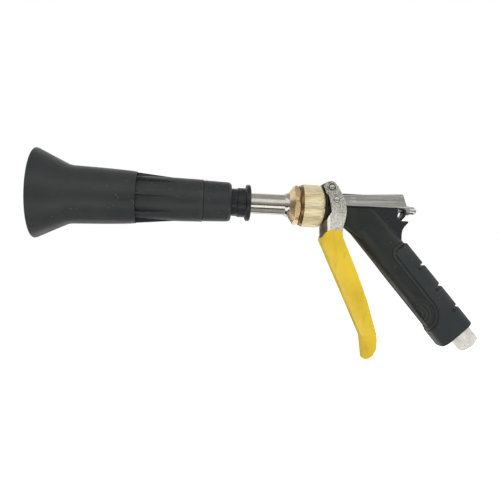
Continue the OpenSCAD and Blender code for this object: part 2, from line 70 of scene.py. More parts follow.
knob_low, knob_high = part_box("adjuster_knob")
BARREL_START = Vector((knob_high.x, 0, (knob_low.z + knob_high.z) / 2))
inlet_mount = next(m for m in frame["record"]["mounts"] if m["name"] == "hose_inlet")
DOWN = Vector(inlet_mount["axis"]).normalized()
BACK = Vector((-DOWN.z, 0, DOWN.x))
INLET_REACH = BARREL_START.z / -DOWN.z / MM
HANDLE_START = DOWN * -INLET_REACH * MM
pivot_joint = next(j for j in frame["joints"] if j["name"] == "lever_pivot")
link_joint = next(j for j in frame["joints"] if j["name"] == "yoke_pivot")


def barrel(s, y, z):
    return BARREL_START + Vector((s, y, z)) * MM


def handle(h, y, z):
    return HANDLE_START + (DOWN * h + Vector((0, y, 0)) + BACK * z) * MM


def in_barrel(co):
    """Row-frame points, in metres, as barrel-frame points in millimetres."""
    return (co - np.array(BARREL_START)) / MM


def in_handle(co):
    away = (co - np.array(HANDLE_START)) / MM
    return np.stack([away @ np.array(DOWN), away[:, 1], away @ np.array(BACK)], 1)


def smoothstep(low, high, x):
    t = np.clip((x - low) / (high - low), 0, 1)
    return t * t * (3 - 2 * t)


def bump_at(x, middle, half):
    """A smooth hump of height 1 at middle that ends half away from it."""
    return smoothstep(1, 0, np.abs(x - middle) / half)


# ---------- materials ----------

# a Mix node has its colour sockets at these places
MIX_A, MIX_B, MIX_RESULT = 6, 7, 2


def plug(tree, value, socket):
    """Links an output to a socket, or sets a plain number, vector or colour on it."""
    if isinstance(value, bpy.types.NodeSocket):
        tree.links.new(value, socket)
    elif socket.type == "RGBA":
        socket.default_value = (*value[:3], 1.0)
    else:
        socket.default_value = value


class Look:
    """One node material: a Principled shader and the patterns that feed it."""

    def __init__(self, name, **values):
        self.material = bpy.data.materials.new(name)
        self.material.use_nodes = True
        self.tree = self.material.node_tree
        self.shader = self.tree.nodes["Principled BSDF"]
        for socket, value in values.items():
            self.set(socket.replace("_", " "), value)
        self.place = self.tree.nodes.new("ShaderNodeTexCoord").outputs["Object"]

    def set(self, socket, value):
        plug(self.tree, value, self.shader.inputs[socket])

    def feed(self, socket, output):
        self.tree.links.new(output, self.shader.inputs[socket])

    def node(self, kind, inputs=(), **settings):
        made = self.tree.nodes.new("ShaderNode" + kind)
        for key, value in settings.items():
            setattr(made, key, value)
        for key, value in dict(inputs).items():
            plug(self.tree, value, made.inputs[key])
        return made

    def stretched(self, x, y, z, turn=0.0):
        """The object's own coordinates, scaled per axis, after a turn about Y."""
        turned = self.node("Mapping", {"Vector": self.place, "Rotation": (0, turn, 0)})
        return self.node("Mapping", {"Vector": turned.outputs[0], "Scale": (x, y, z)}).outputs[0]

    def noise(self, scale, detail=4.0, where=None, rough=0.55, warp=0.0):
        return self.node("TexNoise", {
            "Vector": where or self.place, "Scale": scale, "Detail": detail,
            "Roughness": rough, "Distortion": warp}).outputs["Fac"]

    def cells(self, scale):
        """The distance from the nearest of some scattered points."""
        return self.node("TexVoronoi", {"Vector": self.place, "Scale": scale}).outputs["Distance"]

    def ramp(self, value, *stops):
        """Turns a value into greys or colours, through (place, shade) stops."""
        made = self.node("ValToRGB", {"Fac": value})
        marks = made.color_ramp.elements
        while len(marks) < len(stops):
            marks.new(0.5)
        for mark, (at, shade) in zip(marks, stops):
            mark.position = at
            mark.color = (*shade, 1) if isinstance(shade, tuple) else (shade, shade, shade, 1)
        return made.outputs["Color"]

    def spread(self, value, low, high, to_low=0.0, to_high=1.0):
        return self.node("MapRange", {
            "Value": value, "From Min": low, "From Max": high,
            "To Min": to_low, "To Max": to_high}).outputs["Result"]

    def math(self, operation, a, b):
        return self.node("Math", {0: a, 1: b}, operation=operation).outputs[0]

    def mixed(self, share, a, b):
        made = self.node("Mix", {"Factor": share, MIX_A: a, MIX_B: b}, data_type="RGBA")
        return made.outputs[MIX_RESULT]

    def edges(self, low, high):
        """1 on convex edges, 0 elsewhere."""
        return self.spread(self.node("NewGeometry").outputs["Pointiness"], low, high)

    def bumps(self, *layers):
        """Feeds the normal with (height, distance in metres) layers."""
        below = None
        for height, distance in layers:
            inputs = {"Height": height, "Distance": distance, "Strength": 1.0}
            if below is not None:
                inputs["Normal"] = below
            below = self.node("Bump", inputs).outputs[0]
        self.feed("Normal", below)


def moulded(name, dark, light, roughness, sheen=0.0, grain=0.00003):
    """Black moulded plastic or rubber: mottled tone, fine grain, dust and worn edges."""
    look = Look(name, Roughness=roughness)
    look.set("IOR", 1.46)
    if sheen:
        look.set("Sheen Weight", sheen)
        look.set("Sheen Roughness", 0.5)
    tone = look.ramp(look.noise(22, 5, rough=0.6), (0.3, dark), (0.7, light))
    dust = look.ramp(look.noise(900, 2), (0.66, 0.0), (0.74, 1.0))
    specks = look.ramp(look.cells(260), (0.07, 1.0), (0.12, 0.0))
    patch = look.ramp(look.noise(24, 3), (0.54, 0.0), (0.6, 1.0))
    marks = look.math("ADD", look.math("MULTIPLY", dust, 0.12),
                      look.math("MULTIPLY", specks, patch))
    dusty = look.mixed(marks, tone, (0.16, 0.16, 0.14))
    worn = look.math("MULTIPLY", look.edges(0.53, 0.62), look.spread(look.noise(160, 3), 0.4, 0.7))
    tint = tuple(2.4 * c for c in light)
    look.feed("Base Color", look.mixed(look.math("MULTIPLY", worn, 0.5), dusty, tint))
    smear = look.noise(60, 6, look.stretched(0.5, 1.5, 1.5))
    look.feed("Roughness", look.spread(smear, 0.3, 0.7, roughness - 0.07, roughness + 0.09))
    scuffs = look.ramp(look.noise(110, 3, look.stretched(0.35, 2.6, 5.0, 0.5), warp=0.8),
                       (0.60, 0.0), (0.64, 1.0))
    look.bumps((look.noise(2600, 3), grain), (look.noise(260, 3), 0.00006), (scuffs, -0.000025))
    return look


def metal(name, color, roughness):
    return Look(name, Base_Color=color, Roughness=roughness, Metallic=1.0)


def streaked(look, colors, across, along, roughness, bump):
    """Lines in the two colours; across and along are how often they change in z or y and in x."""
    where = look.stretched(along, across, across)
    lines = look.noise(1, 6, where, rough=0.65)
    wide = look.noise(0.18, 4, where, rough=0.6, warp=0.4)
    tone = look.mixed(0.4, look.ramp(lines, (0.40, colors[0]), (0.60, colors[1])),
                      look.ramp(wide, (0.38, colors[0]), (0.62, colors[1])))
    look.feed("Base Color", tone)
    look.feed("Roughness", look.spread(lines, 0.3, 0.7, roughness - 0.06, roughness + 0.1))
    look.bumps((lines, bump))
    return look


def plated(look, colors, grain, roughness, bump, spots=0.35, wave=0.00006):
    """A slightly uneven tone between the two colours, with fine dark pits and stains."""
    tone = look.ramp(look.noise(70, 5), (0.35, colors[0]), (0.65, colors[1]))
    pits = look.ramp(look.noise(grain, 4, rough=0.7), (0.34, 1.0), (0.46, 0.0))
    dark = tuple(c * 0.35 for c in colors[0])
    stained = look.mixed(look.math("MULTIPLY", pits, spots), tone, dark)
    look.feed("Base Color", stained)
    look.feed("Roughness", look.spread(look.noise(grain * 0.6, 3), 0.3, 0.7,
                                       roughness - 0.05, roughness + 0.1))
    look.bumps((look.noise(grain, 4, rough=0.7), bump), (look.noise(120, 3), wave))
    return look


black_plastic = moulded("charcoal_plastic", (0.015, 0.0195, 0.0205), (0.026, 0.030, 0.0285), 0.42)
handle_plastic = moulded("handle_plastic", (0.0085, 0.0115, 0.0105), (0.018, 0.0215, 0.019), 0.45)
# painted highlight: a lighter plastic for the edges of the panel's steps, where light catches them
painted_highlight_plastic = moulded("painted_step_highlights", (0.024, 0.028, 0.026), (0.044, 0.048, 0.044), 0.5)
# painted shade: a near-black plastic for the gap before the lever and the grooves round the blocks
painted_shade_plastic = moulded("painted_groove_and_gap_shade", (0.005, 0.006, 0.006), (0.010, 0.011, 0.011), 0.6)
# the knob's plastic, also laid on the web under the yoke as painted shade
knob_plastic = moulded("knob_plastic", (0.008, 0.010, 0.012), (0.014, 0.017, 0.019), 0.32,
                       grain=0.00002)
rubber = moulded("grip_rubber", (0.014, 0.018, 0.019), (0.024, 0.028, 0.029), 0.58, sheen=0.12,
                 grain=0.00005)
seal = moulded("seal_rubber", (0.006, 0.006, 0.006), (0.012, 0.012, 0.012), 0.5)

# the height, in metres, over which the lever's speckles grow
SPECKLES_GROW = (0.128, 0.152)

nickel = plated(metal("satin_nickel", (0.66, 0.64, 0.6), 0.2),
                ((0.62, 0.59, 0.53), (0.74, 0.71, 0.65)), 1500, 0.085, 0.0000015, 0.3,
                wave=0.000006)
inlet_nickel = plated(metal("inlet_nickel", (0.7, 0.68, 0.62), 0.26),
                      ((0.70, 0.68, 0.61), (0.88, 0.87, 0.82)), 600, 0.26, 0.00002, 0.5)
inlet_nickel.set("Metallic", 0.7)


def speckled_steel():
    """The lever's rough plating: dark speckles, denser and duller towards its upper end."""
    look = metal("lever_steel", (0.7, 0.68, 0.62), 0.42)
    look.set("Metallic", 0.5)
    height = look.node("SeparateXYZ", {0: look.place}).outputs["Z"]
    upper = look.spread(height, *SPECKLES_GROW)
    tone = look.ramp(look.noise(60, 5), (0.35, (0.60, 0.57, 0.49)), (0.65, (0.90, 0.87, 0.80)))
    dull = look.mixed(look.math("MULTIPLY", upper, 0.7), tone, (0.50, 0.49, 0.44))
    pits = look.ramp(look.noise(560, 3, rough=0.75), (0.44, 1.0), (0.52, 0.0))
    share = look.math("MULTIPLY", pits, look.spread(upper, 0, 1, 0.42, 0.9))
    look.feed("Base Color", look.mixed(share, dull, (0.13, 0.125, 0.11)))
    look.feed("Roughness", look.spread(look.noise(400, 3), 0.3, 0.7, 0.36, 0.5))
    look.bumps((look.noise(520, 3, rough=0.75), 0.00012), (look.noise(120, 3), 0.00006))
    return look


lever_steel = speckled_steel()
# painted reflection: a dark brown for the lever's front wall, mirroring the brass and the black body
lever_web_painted_reflection = plated(metal("lever_web_painted_reflection", (0.36, 0.28, 0.21), 0.4),
                   ((0.20, 0.15, 0.11), (0.42, 0.34, 0.26)), 600, 0.4, 0.00003, 0.5)
# painted highlight: a near-white for the lever's rounded bends
lever_bend_painted_highlight = plated(metal("lever_bend_painted_highlight", (0.9, 0.88, 0.82), 0.4),
                    ((0.88, 0.86, 0.80), (0.99, 0.98, 0.95)), 500, 0.36, 0.00005, 0.4)
lever_bend_painted_highlight.set("Metallic", 0.3)
stainless = streaked(metal("stainless", (0.58, 0.58, 0.56), 0.36),
                     ((0.42, 0.42, 0.38), (0.78, 0.78, 0.73)), 1100, 20, 0.36, 0.00002)
# painted shade: a near-black for the gaps around the pin heads and the shadowed yoke tab
yoke_shade = moulded("painted_shade_steel", (0.010, 0.011, 0.012), (0.022, 0.023, 0.024), 0.4)
fixing_steel = plated(metal("fixing_steel", (0.74, 0.73, 0.7), 0.2),
                      ((0.70, 0.69, 0.65), (0.86, 0.85, 0.81)), 1800, 0.18, 0.00001, 0.4)
brass_turned = streaked(metal("brass_nut", (0.8, 0.64, 0.38), 0.34),
                        ((0.58, 0.43, 0.21), (1.0, 0.92, 0.64)), 760, 60, 0.38, 0.00003)
brass_turned.set("Metallic", 0.5)
# painted shade: a dark brown for the union nut's front chamfer, which faces the dark gap to the gland nut
brass_painted_shade = streaked(metal("brass_chamfer", (0.3, 0.2, 0.1), 0.3),
                      ((0.16, 0.085, 0.035), (0.40, 0.25, 0.12)), 300, 1800, 0.26, 0.00002)
brass_polished = plated(metal("brass_gland", (0.78, 0.6, 0.34), 0.22),
                        ((0.64, 0.46, 0.25), (0.90, 0.71, 0.43)), 700, 0.26, 0.00001, 0.45)
brass_polished.set("Metallic", 0.8)
nylon = moulded("nylon", (0.60, 0.59, 0.54), (0.75, 0.74, 0.68), 0.4)


def yellow_vinyl():
    """Dipped vinyl: a waxy yellow with a wavy surface, some grime and paler worn edges."""
    look = Look("yellow_vinyl", Roughness=0.36)
    look.set("Subsurface Weight", 0.06)
    look.set("Subsurface Radius", (0.004, 0.002, 0.0004))
    look.set("Coat Weight", 0.12)
    look.set("Coat Roughness", 0.3)
    tone = look.ramp(look.noise(26, 5), (0.3, (0.66, 0.44, 0.010)), (0.7, (0.80, 0.56, 0.018)))
    grime = look.ramp(look.noise(70, 7, look.stretched(1, 1, 0.35), rough=0.7),
                      (0.52, 0.0), (0.68, 1.0))
    dulled = look.mixed(look.math("MULTIPLY", grime, 0.4), tone, (0.40, 0.27, 0.02))
    worn = look.math("MULTIPLY", look.edges(0.52, 0.6), 0.3)
    look.feed("Base Color", look.mixed(worn, dulled, (0.88, 0.68, 0.12)))
    look.feed("Roughness", look.spread(look.noise(90, 4), 0.3, 0.7, 0.3, 0.46))
    look.bumps((look.noise(55, 3), 0.0004), (look.noise(1400, 3), 0.00003))
    return look


# ---------- mesh tools ----------


def new_piece(name, mesh, look, body, replaces, sharp=32):
    """A visible piece that stands for CAD nodes; sharp is the angle its smooth shading keeps."""
    piece = bpy.data.objects.new(name, mesh)
    bpy.context.scene.collection.objects.link(piece)
    mesh.shade_smooth()
    mesh.set_sharp_from_angle(angle=math.radians(sharp))
    mesh.materials.clear()
    mesh.materials.append(look.material)
    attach(piece, body)
    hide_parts(*replaces)
    return piece


def paint(piece, look, chosen):
    """Gives another look to the faces picked by chosen, from their centres in the barrel frame,
    their normals, and their centres in the handle frame."""
    mesh = piece.data
    count = len(mesh.polygons)
    centre, normal = np.zeros(count * 3), np.zeros(count * 3)
    mesh.polygons.foreach_get("center", centre)
    mesh.polygons.foreach_get("normal", normal)
    mesh.materials.append(look.material)
    index = np.zeros(count, dtype=np.int32)
    mesh.polygons.foreach_get("material_index", index)
    centre = centre.reshape(-1, 3)
    picked = chosen(in_barrel(centre), normal.reshape(-1, 3), in_handle(centre))
    mesh.polygons.foreach_set("material_index", np.where(picked, len(mesh.materials) - 1, index))


def grid_mesh(name, points):
    """A mesh from a (u, v, 3) array of points in metres, closed on itself both ways."""
    nu, nv = points.shape[:2]
    u, v = np.meshgrid(np.arange(nu), np.arange(nv), indexing="ij")
    u2, v2 = (u + 1) % nu, (v + 1) % nv
    faces = np.stack([u * nv + v, u2 * nv + v, u2 * nv + v2, u * nv + v2], -1).reshape(-1, 4)
    mesh = bpy.data.meshes.new(name)
    mesh.from_pydata(points.reshape(-1, 3).tolist(), [], faces.tolist())
    outward(mesh)
    return mesh


def outward(mesh):
    """Turns a closed mesh's faces to look outwards."""
    work = bmesh.new()
    work.from_mesh(mesh)
    bmesh.ops.recalc_face_normals(work, faces=work.faces)
    work.to_mesh(mesh)
    work.free()


SMALLEST_FILLET = 0.02
EDGE_SHARE = 0.48  # how much of an edge a fillet may take


def rounded(corners, steps=6):
    """A closed (x, r) outline in which each (x, r, fillet) corner is rounded, starting that far
    from the corner."""
    outline = []
    for i, (x, r, fillet) in enumerate(corners):
        here = np.array([x, r])
        before = np.array(corners[i - 1][:2]) - here
        after = np.array(corners[(i + 1) % len(corners)][:2]) - here
        to_before, to_after = np.linalg.norm(before), np.linalg.norm(after)
        reach = min(fillet, EDGE_SHARE * to_before, EDGE_SHARE * to_after)
        if reach < SMALLEST_FILLET:
            outline.append(here)
            continue
        a = here + before / to_before * reach
        b = here + after / to_after * reach
        for t in np.linspace(0, 1, steps):
            outline.append((1 - t) ** 2 * a + 2 * t * (1 - t) * here + t * t * b)
    return np.array(outline)


def filled(outline, step):
    """The closed outline with long runs cut into pieces no longer than step."""
    made = []
    for a, b in zip(outline, np.roll(outline, -1, 0)):
        n = max(1, math.ceil(np.linalg.norm(b - a) / step))
        made += [a + (b - a) * k / n for k in range(n)]
    return np.array(made)


def lathed(name, outline, at=barrel, steps=160, shape=None):
    """Turns a closed (x, r) outline in millimetres about a local frame's x axis.
    shape(angle, x, r) may change the radius; angle 0 is local -y and 90 degrees local +z."""
    angle = np.linspace(0, 2 * math.pi, steps, endpoint=False)[:, None]
    x, r = outline[None, :, 0], outline[None, :, 1]
    r = r + 0 * angle if shape is None else shape(angle + 0 * x, x + 0 * angle, r + 0 * angle)
    start, along = np.array(at(0, 0, 0)), np.array(at(1, 0, 0)) - np.array(at(0, 0, 0))
    side, up = (np.array(at(*v)) - start for v in ((0, -1, 0), (0, 0, 1)))
    points = (start + (x + 0 * angle)[..., None] * along
              + (r * np.cos(angle))[..., None] * side + (r * np.sin(angle))[..., None] * up)
    return grid_mesh(name, points)


def across(point):
    """A local frame on a cross pin through point: x runs towards +Y, from the gun's middle."""
    base = Vector((point[0], 0, point[2]))
    return lambda x, y, z: base + Vector((y, x, z)) * MM


WELD_REACH = 2e-6


def finer(name, node, voxel, rounds, relief=None):
    """A copy of a CAD node's mesh, remeshed in voxels of that many millimetres, smoothed for that
    many rounds, which eases its edges, and moved by relief(points, normals)."""
    piece = bpy.data.objects.new("work", frame["nodes"][node].data.copy())
    bpy.context.scene.collection.objects.link(piece)
    weld = piece.modifiers.new("weld", "WELD")
    weld.merge_threshold = WELD_REACH
    remesh = piece.modifiers.new("remesh", "REMESH")
    remesh.mode = "VOXEL"
    remesh.voxel_size = voxel * MM
    smooth = piece.modifiers.new("smooth", "SMOOTH")
    smooth.factor, smooth.iterations = 0.5, rounds
    bpy.context.view_layer.update()
    depsgraph = bpy.context.evaluated_depsgraph_get()
    made = bpy.data.meshes.new_from_object(piece.evaluated_get(depsgraph))
    made.name = name
    bpy.data.objects.remove(piece)
    if relief is not None:
        count = len(made.vertices)
        co, normal = np.zeros(count * 3), np.zeros(count * 3)
        made.vertices.foreach_get("co", co)
        made.vertices.foreach_get("normal", normal)
        moved = relief(co.reshape(-1, 3), normal.reshape(-1, 3))
        made.vertices.foreach_set("co", moved.ravel())
        made.update()
    return made


# ---------- spray head ----------
# The outlines of turned parts are lists of (station, radius, fillet).


def spray_head():
    bell = filled(rounded([
        (-219.0, 45.9, 1.2), (-217.2, 45.5, 0.8), (-205, 39.6, 30), (-184.8, 30.0, 3.5),
        (-172, 29.5, 10), (-146, 28.6, 10), (-126, 27.5, 8), (-117.9, 26.7, 0.4),
        (-117.5, 26.3, 0.3), (-117.5, 24.2, 0.3), (-126, 25.0, 8), (-146, 26.1, 10),
        (-172, 27.0, 10), (-184.8, 27.6, 4), (-205, 37.1, 30), (-217.6, 43.2, 0.8),
        (-220, 43.4, 0.6), (-220, 45.3, 0.7),
    ]), 3)
    new_piece("bell", lathed("bell", bell, steps=220), black_plastic, "spray_head",
              ["bell_shroud"])
    collar = filled(rounded([
        (-49.2, 20.9, 0.2), (-48.9, 21.35, 0.25), (-22.8, 20.5, 2.2), (-20.3, 18.6, 1.2),
        (-20.0, 14.8, 0.4), (-25, 14.7, 0.3), (-25, 17.2, 0.3), (-49.2, 17.2, 0.3),
    ]), 2.5)
    new_piece("head_collar", lathed("head_collar", collar), black_plastic, "spray_head",
              ["rear_collar"])
    rim, bead = 19.0, 2.45
    knob = filled(rounded([
        (-20.2, 12.9, 0.2), (-20.2, 14.15, 0.3), (-14.4, 14.15, 0.4), (-13.6, 14.7, 0.25),
        (-13.3, 15.3, 0.3), (-11.2, 15.3, 0.2), (-10.9, 15.1, 0.15), (-10.6, 15.3, 0.2),
        (-5.4, 15.3, 1.2), (-4.9, 16.4, 0.6), (-4.9, rim - 0.7, 0.5), (-3.9, rim, 1.1),
        (-1.0, rim, 1.0), (-0.1, rim - bead / 2, 0.8), (-0.05, 11.2, 0.5), (-2, 10.8, 0.2),
        (-8.8, 10.8, 0.2), (-9.0, 13.4, 0.2), (-12, 13.4, 0.2), (-12.2, 10.8, 0.2),
    ]), 2)

    columns, row_start, row_pitch, dots_middle, dots_reach = 14, -18.9, 1.5, -16.8, 2.2
    dot_height, seam_height, seam_at, flange_front, outside = 0.28, 0.12, 0.35, -5, 13.5

    def dotted(angle, x, r):
        # rows of small raised dots on the neck, and a parting line along it
        column, row = angle * columns / 2 / math.pi, (x - row_start) / row_pitch
        away = np.hypot(column % 1 - 0.5, (row % 1 - 0.5) * 0.9)
        dots = (smoothstep(0.42, 0.2, away) * (np.abs(x - dots_middle) < dots_reach)
                * (np.sin(angle * 2) > -0.2))
        seam = bump_at((angle + seam_at) % math.pi, seam_at, 0.012) * (x < flange_front)
        return r + np.where(r > outside, dot_height * dots + seam_height * seam, 0)

    new_piece("knob", lathed("knob", filled(knob, 0.5), steps=336, shape=dotted), knob_plastic,
              "spray_head", ["adjuster_knob"])


# ---------- brass and nickel ----------


def hexagonal(across_flats, first_corner):
    """A radius limit that gives a hexagon with a corner at that angle, in degrees."""
    first_flat = math.radians(first_corner - 30)

    def limit(angle):
        from_flat = (angle - first_flat + math.pi / 6) % (math.pi / 3) - math.pi / 6
        return across_flats / 2 / np.cos(from_flat)
    return limit


def couplings():
    hexagon = hexagonal(38.2, 15)
    body_rear, pitch, depth, outside = 53.0, 1.5, 0.38, 13

    def gland_shape(angle, x, r):
        on_hex = np.minimum(r, hexagon(angle))
        turns = (x - body_rear) / pitch - angle / 2 / math.pi
        thread = r - depth + depth * np.cos(2 * math.pi * turns)
        return np.where(r > outside, np.where(x < body_rear + 0.2, on_hex, thread), r)

    gland = filled(rounded([
        (40.5, 10.7, 0), (40.5, 12.7, 0.4), (46.4, 20.9, 0.6), (48.9, 21.1, 0.6), (51.6, 18.6, 0.6),
        (53.2, 16.4, 0.2), (64.2, 16.4, 0.3), (64.4, 10.7, 0),
    ], 4), 0.35)
    new_piece("gland", lathed("gland", gland, steps=300, shape=gland_shape), brass_polished,
              "gun_body", ["gland_nut"])
    union = filled(rounded([
        (51.4, 18.95, 0.2), (51.4, 20.3, 0.4), (51.8, 20.7, 0.2), (54.3, 21.7, 0.2),
        (54.8, 22.25, 0.4), (70.6, 22.3, 2.2), (73.6, 21.5, 2.0), (75.7, 19.2, 0.9),
        (75.7, 17, 0.2), (66.5, 16.9, 0.2), (66.4, 19.5, 0.2), (52.4, 19.5, 0.4),
    ]), 2)
    chamfer_rear = 54.5
    nut = new_piece("union", lathed("union", filled(union, 0.5), steps=200), brass_turned,
                    "gun_body", ["union_nut"])
    # painted shade on the union nut's front chamfer
    paint(nut, brass_painted_shade, lambda at, normal, down: at[:, 0] < chamfer_rear)
    collar = filled(rounded([
        (36.0, 10.66, 0), (36.0, 11.0, 0.2), (38.8, 12.6, 0.5), (40.45, 12.65, 0.3),
        (40.45, 10.66, 0),
    ]), 1)
    new_piece("lance_collar", lathed("lance_collar", collar), nickel, "gun_body",
              ["tube_collar"])
    tube = filled(rounded([
        (-99.9, 8.0, 0.3), (-99.9, 10.65, 0.4), (74.9, 10.65, 0.3), (74.9, 8.0, 0.3),
    ]), 4)
    new_piece("lance", lathed("lance", tube, steps=192), nickel, "gun_body",
              ["lance_tube"])


def inlet():
    hexagon = hexagonal(21.5, 0)
    pitch, depth, outside = 1.34, 0.35, 9
    mouth, socket, lip, chamfer_front = INLET_REACH, 12.0, 0.8, 188.25

    def shape(angle, x, r):
        turns = (x - mouth) / pitch - angle / 2 / math.pi
        thread = r + depth * np.cos(2 * math.pi * turns) - depth
        inside = (x > mouth - socket) & (x < mouth - lip)
        return np.where(r > outside, np.minimum(r, hexagon(angle)), np.where(inside, thread, r))

    outline = filled(rounded([
        (168.5, 9.4, 0), (168.5, 12.5, 0.2), (188.2, 12.5, 0.2), (188.95, 11.2, 0.2),
        (189.0, 9.6, 0.2), (188.9, 8.9, 0.2), (188.1, 8.4, 0.3),
        (176.9, 8.4, 0.2), (176.9, 4.0, 0.1), (168.6, 4.0, 0),
    ], 4), 0.35)
    mesh = lathed("inlet_hex", outline, at=handle, steps=240, shape=shape)
    fitting = new_piece("inlet_hex", mesh, inlet_nickel, "gun_body",
                        ["inlet_fitting"])
    paint(fitting, fixing_steel, lambda at, normal, down: down[:, 0] > chamfer_front)


# ---------- trigger ----------

CHEEK_FACE = 14  # pin heads are further out than this


def ring_around(joint, inner, outer):
    """Picks a ring between two radii on the pin heads at a joint."""
    middle = in_barrel(np.array([joint["pos_m"]]))[0]

    def chosen(at, normal, down):
        away = np.hypot(at[:, 0] - middle[0], at[:, 2] - middle[2])
        return (away > inner) & (away < outer) & (np.abs(at[:, 1]) > CHEEK_FACE)
    return chosen


def pins():
    """The pivot screw and the two rivets, each with a ring of painted shade on its head for the dark gap around
    it.
    """
    screw = filled(rounded([
        (18.0, 0.05, 0), (18.0, 2.49, 0.5), (-14.55, 2.49, 0.1), (-14.55, 4.2, 0.15),
        (-15.5, 4.3, 0.5), (-15.9, 3.0, 0.3), (-15.9, 2.7, 0.2), (-17.0, 2.2, 0.9),
        (-17.2, 0.05, 0),
    ]), 0.6)
    head = new_piece("pivot_screw_turned",
                     lathed("pivot_screw_turned", screw, across(pivot_joint["pos_m"]), 96),
                     fixing_steel, "gun_body", ["pivot_screw"])
    # painted shade in the gap around the screw's boss
    paint(head, yoke_shade, ring_around(pivot_joint, 2.75, 3.7))
    rivets = bmesh.new()
    for side in (-1, 1):
        rivet = rounded([(side * y, r, f) for y, r, f in (
            (10.7, 0.05, 0), (10.7, 1.98, 0.2), (14.5, 1.98, 0), (14.5, 3.3, 0.1), (14.9, 3.3, 0.2),
            (15.7, 2.3, 1.1), (15.85, 0.05, 0))])
        rivets.from_mesh(lathed("rivet", filled(rivet, 0.4), across(link_joint["pos_m"]), 72))
    mesh = bpy.data.meshes.new("link_rivets_domed")
    rivets.to_mesh(mesh)
    rivets.free()
    domes = new_piece("link_rivets_domed", mesh, fixing_steel, "trigger",
                      ["link_rivets"])
    # painted shade in the gap around each rivet's head
    paint(domes, yoke_shade, ring_around(link_joint, 2.6, 3.1))


def yoke_relief(co, normal):
    """Two thin pressed lines along each arm, and a thicker curl at the tab."""
    front, rear, fade, arm_face, tab_front = 103, 154, 3, 11.2, 157
    line_height, line_half, line_away, curl_growth = 0.35, 0.8, 1.7, 0.8
    at = in_barrel(co)
    run = smoothstep(front, front + fade, at[:, 0]) * smoothstep(rear, rear - fade, at[:, 0])
    middle = 7.6 + (at[:, 0] - 104) * 0.035
    lines = (bump_at(at[:, 2], middle + line_away, line_half)
             + bump_at(at[:, 2], middle - line_away, line_half))
    outer = (np.abs(at[:, 1]) > arm_face) & (np.abs(normal[:, 1]) > 0.7)
    moved = co.copy()
    moved[:, 1] += np.sign(co[:, 1]) * line_height * MM * np.minimum(lines, 1) * run * outer
    curl = smoothstep(2.5, 0, at[:, 2]) * (at[:, 0] > tab_front)
    moved += normal * (curl_growth * MM * curl)[:, None]
    return moved


def on_web(at, normal, down):
    """The lever's front wall, between its cheeks, below its ears, which gets a painted reflection of the brass
    nuts and the black body.
    """
    return (normal[:, 0] < -0.45) & (at[:, 2] < -4)


def on_bend(at, normal, down):
    """The rounded edges between the lever's front wall and its cheeks, which get a painted highlight."""
    return (np.abs(normal[:, 0] + 0.28) < 0.17) & (at[:, 2] < -6)


def on_tab(at, normal, down):
    """The yoke's curled tab, under its rear wall, painted dark as shade."""
    return (at[:, 2] < 0.6) & (at[:, 0] > 155)


def trigger():
    pins()
    lever = new_piece("lever_strap", finer("lever_strap", "lever", 0.51, 3), lever_steel, "trigger",
                      ["lever"], sharp=60)
    # painted reflection on the lever's front wall
    paint(lever, lever_web_painted_reflection, on_web)
    # painted highlight on the lever's bends
    paint(lever, lever_bend_painted_highlight, on_bend)
    new_piece("lever_cover", finer("lever_cover", "lever_sleeve", 0.66, 8), yellow_vinyl(),
              "trigger", ["lever_sleeve"], sharp=80)
    yoke = new_piece("yoke_strap_bent", finer("yoke_strap_bent", "yoke", 0.32, 3, yoke_relief),
                     stainless, "yoke_strap", ["yoke"], sharp=60)
    # painted shade on the yoke's curled tab
    paint(yoke, yoke_shade, on_tab)


# ---------- handle ----------


HANDLE_FRONT = -9.6  # forward of this the handle's section is half round
FRONT_DEPTH = 16.8
PANEL_AT = (125, -27)  # the middle of the stepped panel, in the handle frame
PANEL_RINGS = (17.5, 14, 10.5, 7)
BLOCKS_REACH, BLOCKS_TOP, BLOCKS_FRONT = 22.6, 58, -4.4
CORNER_AT, CORNER = (63, 0.6), 5  # the rounded corner at the top of the blocks
SHELL_LINE, BLOCK_LINE = 4.7, 0.7  # how far the grooves run outside the blocks


def squarer(down, y):
    """Turns the handle's half-round front into a flat-sided one below the trigger."""
    u = np.clip((HANDLE_FRONT - down[:, 2]) / FRONT_DEPTH, 0, 0.985)
    wider = (1 - u ** 4) ** 0.25 / (1 - u ** 2) ** 0.5
    return y * (1 + (wider - 1) * 0.85 * smoothstep(45, 80, down[:, 0]))


def from_panel(down):
    return np.hypot(down[:, 0] - PANEL_AT[0], down[:, 2] - PANEL_AT[1])


def block_edge(down):
    """Distance outside the outline of the rubber blocks, seen from the side."""
    h, z = down[:, 0], down[:, 2]
    end = BLOCKS_REACH - from_panel(down)
    corner = np.hypot(h - CORNER_AT[0], z - CORNER_AT[1]) - CORNER
    top = np.where(z < CORNER_AT[1], corner, BLOCKS_TOP - h)
    return np.where(h > PANEL_AT[0], end, np.where(h < CORNER_AT[0], top, BLOCKS_FRONT - z))


def sideways(co, wanted):
    """The points moved to the wanted distances, in millimetres, from the gun's middle plane."""
    moved = co.copy()
    moved[:, 1] = np.sign(co[:, 1]) * wanted * MM
    return moved


